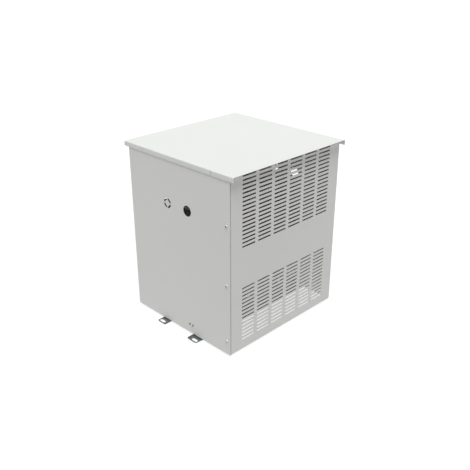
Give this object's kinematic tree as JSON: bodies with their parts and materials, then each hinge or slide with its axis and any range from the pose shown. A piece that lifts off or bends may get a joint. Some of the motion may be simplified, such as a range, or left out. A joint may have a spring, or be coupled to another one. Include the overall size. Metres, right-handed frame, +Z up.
{
  "type": "isolation transformer",
  "caption": "Three-phase isolation transformer on slotted foot rails, in a light grey folded-sheet enclosure with slotted sides, a flat lid and a round cable entry.",
  "frame": {"origin": "on the floor under the middle of the transformer, level with the underside of the foot rails", "axes": "+Z up, -Y out of the front face with the cable entry, +X out of the louvred right side"},
  "size_m": [0.497, 0.55, 0.6],
  "materials": {
    "enclosure_paint": "light grey powder coat, fine orange peel, satin",
    "rail_paint": "dark grey-green paint, satin",
    "core_steel": "stacked electrical steel laminations, varnished edges",
    "winding": "enamelled wire under impregnating varnish and woven tape",
    "pressboard": "dense pressboard, matt",
    "copper": "bare copper, lightly oxidised",
    "dark_screw": "black zinc plate",
    "zinc_steel": "bright zinc plate",
    "tube_plastic": "insulating tube, matt",
    "terminal_grey": "moulded polyamide",
    "terminal_blue": "moulded polyamide",
    "terminal_green": "moulded polyamide",
    "lead_black": "silicone insulated lead",
    "lead_blue": "silicone insulated lead",
    "lead_green": "silicone insulated earth lead"
  },
  "bodies": {
    "root": {"lid": "enclosure_paint", "front_left_wrap": "enclosure_paint", "back_right_wrap": "enclosure_paint", "left_foot_rail": "rail_paint", "right_foot_rail": "rail_paint", "left_top_clamp": "rail_paint", "right_top_clamp": "rail_paint", "front_right_carrier": "rail_paint", "front_left_carrier": "rail_paint", "back_right_carrier": "rail_paint", "back_left_carrier": "rail_paint", "core_bottom_yoke": "core_steel", "core_top_yoke": "core_steel", "core_limb_1": "core_steel", "core_limb_2": "core_steel", "core_limb_3": "core_steel", "primary_winding_1": "winding", "primary_winding_2": "winding", "primary_winding_3": "winding", "secondary_winding_1": "winding", "secondary_winding_2": "winding", "secondary_winding_3": "winding", "coil_former_1": "pressboard", "coil_former_2": "pressboard", "coil_former_3": "pressboard", "coil_blocks_bottom": "pressboard", "coil_blocks_top": "pressboard", "earth_screen_1": "copper", "earth_screen_2": "copper", "earth_screen_3": "copper", "primary_star_link": "copper", "secondary_star_link": "copper", "earth_bar": "copper", "panel_screws": "dark_screw", "earth_bar_screws": "dark_screw", "panel_clinch_nuts": "zinc_steel", "lid_studs": "zinc_steel", "lid_nuts": "zinc_steel", "clamp_bolts": "zinc_steel", "clamp_nuts": "zinc_steel", "carrier_bolts": "zinc_steel", "carrier_nuts": "zinc_steel", "rail_screws": "zinc_steel", "terminal_rail": "zinc_steel", "front_rail_support": "zinc_steel", "back_rail_support": "zinc_steel", "clamp_bolt_tubes": "tube_plastic", "primary_terminals": "terminal_grey", "secondary_terminals": "terminal_grey", "rail_end_stops": "terminal_grey", "neutral_terminal": "terminal_blue", "earth_terminal": "terminal_green", "primary_leads": "lead_black", "secondary_leads": "lead_black", "neutral_lead": "lead_blue", "earth_lead": "lead_green"}
  },
  "joints": []
}
